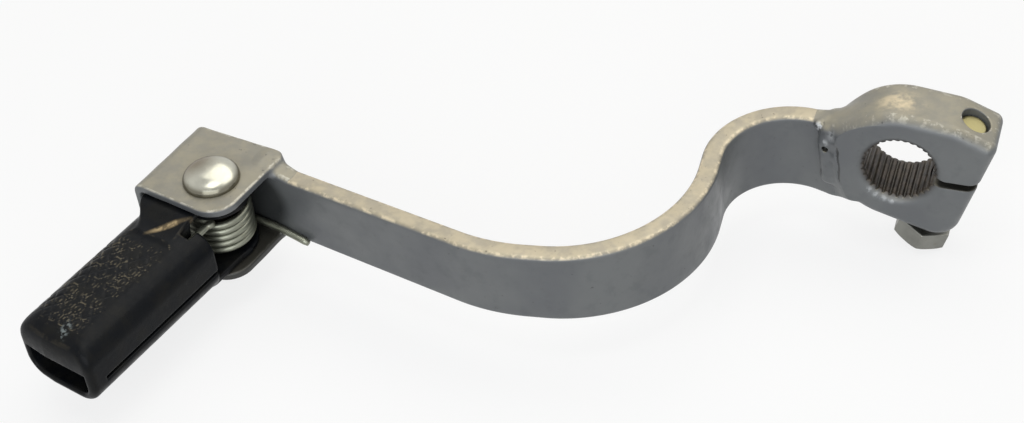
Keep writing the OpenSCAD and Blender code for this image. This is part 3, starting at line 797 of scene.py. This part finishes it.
def zinc(name, tint, rough, grain=0.02, brassy=False, dome_shaded=False):
    """Plated steel, cloudy and lightly stained; brassy on the bolt's end, and on the rivet's dome a painted dark
    reflection on its upper left and painted shade round its rim.
    """
    m = Nodes(name)
    cloud = m.grain(220, 3, 0.55, 0.3, 0.75)
    color = m.mix(cloud, tint, [c * 0.78 for c in tint[:3]] + [1.0])
    stain = m.grain(600, 3, 0.6, 0.62, 0.74, 0, 0.2 if dome_shaded else 0.5)
    color = m.mix(stain, color, rgb(112, 100, 76))
    if dome_shaded:
        # Painted reflection and shade: the dome's upper left is darkened brown, and its sloping rim made darker.
        dark_reflection = m.blob((PIVOT[0] - 4.6, PIVOT[1] + 2.6, 6.5), (6.5, 7.5, 6.0))
        color = m.mix(m.times(dark_reflection, 0.8), color, rgb(98, 82, 58))
        color = m.mix(m.range(m.facing("Z"), 0.90, 0.55, 0, 0.75), color, rgb(84, 78, 62))
    if brassy:
        color = m.mix(m.range(m.at("Z"), 0.007, 0.009), color, rgb(158, 150, 108))
    roughness = m.grain(500, 3, 0.5, 0.3, 0.7, rough, rough + 0.12)
    m.bump([(m.noise(900, 3), grain), (m.noise(260, 2), grain)])
    return m.surface(color, roughness, 0.95)


def black_finish(name):
    """Glossy black, with rubbed wear and painted brownish glints on the hatching, and a pale scuff near the open
    end.
    """
    m = Nodes(name)
    color = m.mix(m.grain(240, 4, 0.6, 0.4, 0.7), rgb(13, 15, 18), rgb(22, 22, 21))
    # Rubbed wear and painted glints: brownish on the raised points of the hatching.
    rub_and_glints = m.times(m.range(m.attribute("edge"), 0.2, 1.0), m.grain(420, 3, 0.6, 0.42, 0.60))
    grip = placed([(-1.5, -29.0, 1.0)], PEG_TURN, PIVOT)[0]
    rub_and_glints = m.times(rub_and_glints, m.times(m.blob(grip, (13.0, 21.0, 9.0), PEG_TURN), 2.0, True))
    color = m.mix(m.times(rub_and_glints, 0.75), color, rgb(98, 91, 76))
    scuff = m.times(m.blob(PEG_SCUFF, (1.5, 3.0, 3.0)), m.grain(900, 3, 0.7, 0.48, 0.62))
    color = m.mix(m.times(scuff, 0.9, True), color, rgb(128, 136, 136))
    crease = m.blob(PEG_CREASE, (5.6, 0.95, 3.0), math.radians(33))
    rubbed = m.times(crease, m.grain(480, 3, 0.6, 0.36, 0.56, 0.3, 1.0))
    color = m.mix(m.times(rubbed, 1.2, True), color, rgb(166, 146, 112))
    m.bump([(m.noise(1300, 2), 0.02), (m.noise(400, 3), 0.04)])
    m.shader.inputs["Specular IOR Level"].default_value = 0.09
    return m.surface(color, m.grain(600, 3, 0.5, 0.3, 0.7, 0.26, 0.42), 0.0)


# ---------------------------------------------------------------- the scene
FLOOR_DROP = 0.0004
FLOOR_HALF = 3.0
AIM = (-0.065, -0.03, 0)
# Name, place, size, power and colour of each area light, all turned to AIM.
LIGHTS = (("key", (0.02, 0.28, 0.55), (0.9, 0.5), 2.45, (1.0, 0.97, 0.90)),
          ("window", (-0.085, -0.10, 0.5), (0.24, 0.24), 0.62, (1.0, 1.0, 0.97)),
          ("fill", (0.08, -0.62, 0.30), (0.7, 0.5), 2.75, (0.92, 0.96, 1.0)))


def floor():
    """Plain floor; it glows for the rays that see it, so that it looks nearly white and keeps its shadow."""
    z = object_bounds()[0][2] - FLOOR_DROP
    mesh = bpy.data.meshes.new("floor")
    corners = [(x * FLOOR_HALF, y * FLOOR_HALF, z) for x, y in ((-1, -1), (1, -1), (1, 1), (-1, 1))]
    mesh.from_pydata(corners, [], [(0, 1, 2, 3)])
    obj = bpy.data.objects.new("floor", mesh)
    bpy.context.scene.collection.objects.link(obj)
    m = Nodes("floor_pale")
    path = m.add("ShaderNodeLightPath").outputs
    seen = m.math("MAXIMUM", path["Is Camera Ray"],
                  m.math("MAXIMUM", path["Is Glossy Ray"], path["Is Transmission Ray"]))
    pale = m.mix(m.grain(3, 2, 0.5, 0.3, 0.7), (0.80, 0.80, 0.80, 1), (0.82, 0.82, 0.815, 1))
    m.surface(m.mix(seen, (0.52, 0.52, 0.52, 1), pale), 0.9, 0.0)
    glow = m.add("ShaderNodeEmission")
    glow.inputs["Strength"].default_value = 1.0
    blend = m.add("ShaderNodeMixShader")
    m.link(m.times(seen, 0.80), blend.inputs[0])
    m.link(m.shader.outputs[0], blend.inputs[1])
    m.link(glow.outputs[0], blend.inputs[2])
    m.link(blend.outputs[0], m.out)
    mesh.materials.append(m.mat)
    obj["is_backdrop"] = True


def world():
    """Dim sky for the light, white for the rays that see it."""
    studio = bpy.data.worlds.new("studio")
    bpy.context.scene.world = studio
    studio.use_nodes = True
    tree = studio.node_tree
    tree.nodes.clear()
    out = tree.nodes.new("ShaderNodeOutputWorld")
    sky = tree.nodes.new("ShaderNodeBackground")
    sky.inputs["Color"].default_value = (0.93, 0.96, 1.0, 1)
    sky.inputs["Strength"].default_value = 0.27
    white = tree.nodes.new("ShaderNodeBackground")
    white.inputs["Color"].default_value = (1, 1, 1, 1)
    pick = tree.nodes.new("ShaderNodeMixShader")
    path = tree.nodes.new("ShaderNodeLightPath").outputs
    seen = path["Is Camera Ray"]
    for ray in ("Is Glossy Ray", "Is Transmission Ray"):
        either = tree.nodes.new("ShaderNodeMath")
        either.operation = "MAXIMUM"
        tree.links.new(seen, either.inputs[0])
        tree.links.new(path[ray], either.inputs[1])
        seen = either.outputs[0]
    tree.links.new(seen, pick.inputs[0])
    tree.links.new(sky.outputs[0], pick.inputs[1])
    tree.links.new(white.outputs[0], pick.inputs[2])
    tree.links.new(pick.outputs[0], out.inputs[0])


def lights():
    for name, where, size, power, color in LIGHTS:
        data = bpy.data.lights.new(name, "AREA")
        data.shape = "RECTANGLE"
        data.size, data.size_y = size
        data.energy = power
        data.color = color
        obj = bpy.data.objects.new(name, data)
        bpy.context.scene.collection.objects.link(obj)
        obj.location = where
        obj.rotation_euler = (Vector(AIM) - Vector(where)).to_track_quat("-Z", "Y").to_euler()


def camera():
    """The photograph's viewpoint, fitted to the object's edges in it."""
    yaw, pitch, roll = (math.radians(v) for v in (22.591, 43.338, -6.132))
    looked_at, offset = np.array([-80.0, -20.0, 0.0]), np.array([7.343, -11.086, 385.294])
    focal_pixels, photo_width, sensor = 1975.946, 1024, 36.0
    back = np.array([math.sin(yaw) * math.cos(pitch), -math.cos(yaw) * math.cos(pitch), math.sin(pitch)])
    right = np.array([math.cos(yaw), math.sin(yaw), 0.0])
    up = np.cross(back, right)
    c, s = math.cos(roll), math.sin(roll)
    turned = np.array([c * right + s * up, -s * right + c * up, back])
    where = looked_at + turned.T @ offset
    data = bpy.data.cameras.new("view")
    data.sensor_fit = "HORIZONTAL"
    data.sensor_width = sensor
    data.lens = focal_pixels / photo_width * sensor
    data.clip_start = 0.01
    cam = bpy.data.objects.new("view", data)
    bpy.context.scene.collection.objects.link(cam)
    m = Matrix(turned.T.tolist()).to_4x4()
    m.translation = Vector((where * MM).tolist())
    cam.matrix_world = m
    bpy.context.scene.camera = cam


def show(piece, material, body, slot, *nodes):
    """Give a piece its material and body, and hide the nodes it replaces; the slot is not used. A piece on both
    bodies has its place baked into its mesh and is put on neither.
    """
    piece.data.materials.clear()
    piece.data.materials.append(material)
    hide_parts(*nodes)
    if body == "both":
        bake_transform(piece)
    else:
        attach(piece, body)


camera()
show(boss_piece(), grey_paint("paint_boss", boss=True), "lever", "grey_paint", "clamp_boss", "boss_weld")
show(arm_piece(), grey_paint("paint_arm", pale_top=True), "lever", "grey_paint", "arm_bar")
show(bracket_piece(), grey_paint("paint_tip"), "lever", "grey_paint", "tip_bracket", "bracket_weld")
show(bolt_piece(), zinc("zinc_bolt", rgb(136, 136, 130), 0.36, brassy=True), "lever", "zinc", "pinch_bolt")
show(rivet_piece(), zinc("zinc_rivet", rgb(186, 185, 172), 0.15, 0.004, dome_shaded=True), "lever", "zinc", "pivot_rivet")
show(spring_piece(), zinc("zinc_wire", rgb(142, 144, 130), 0.34), "both", "zinc", "torsion_spring")
show(peg_piece(), black_finish("finish_black"), "peg", "black_finish", "toe_peg")
floor()
world()
lights()
bpy.context.scene.view_settings.view_transform = "Standard"
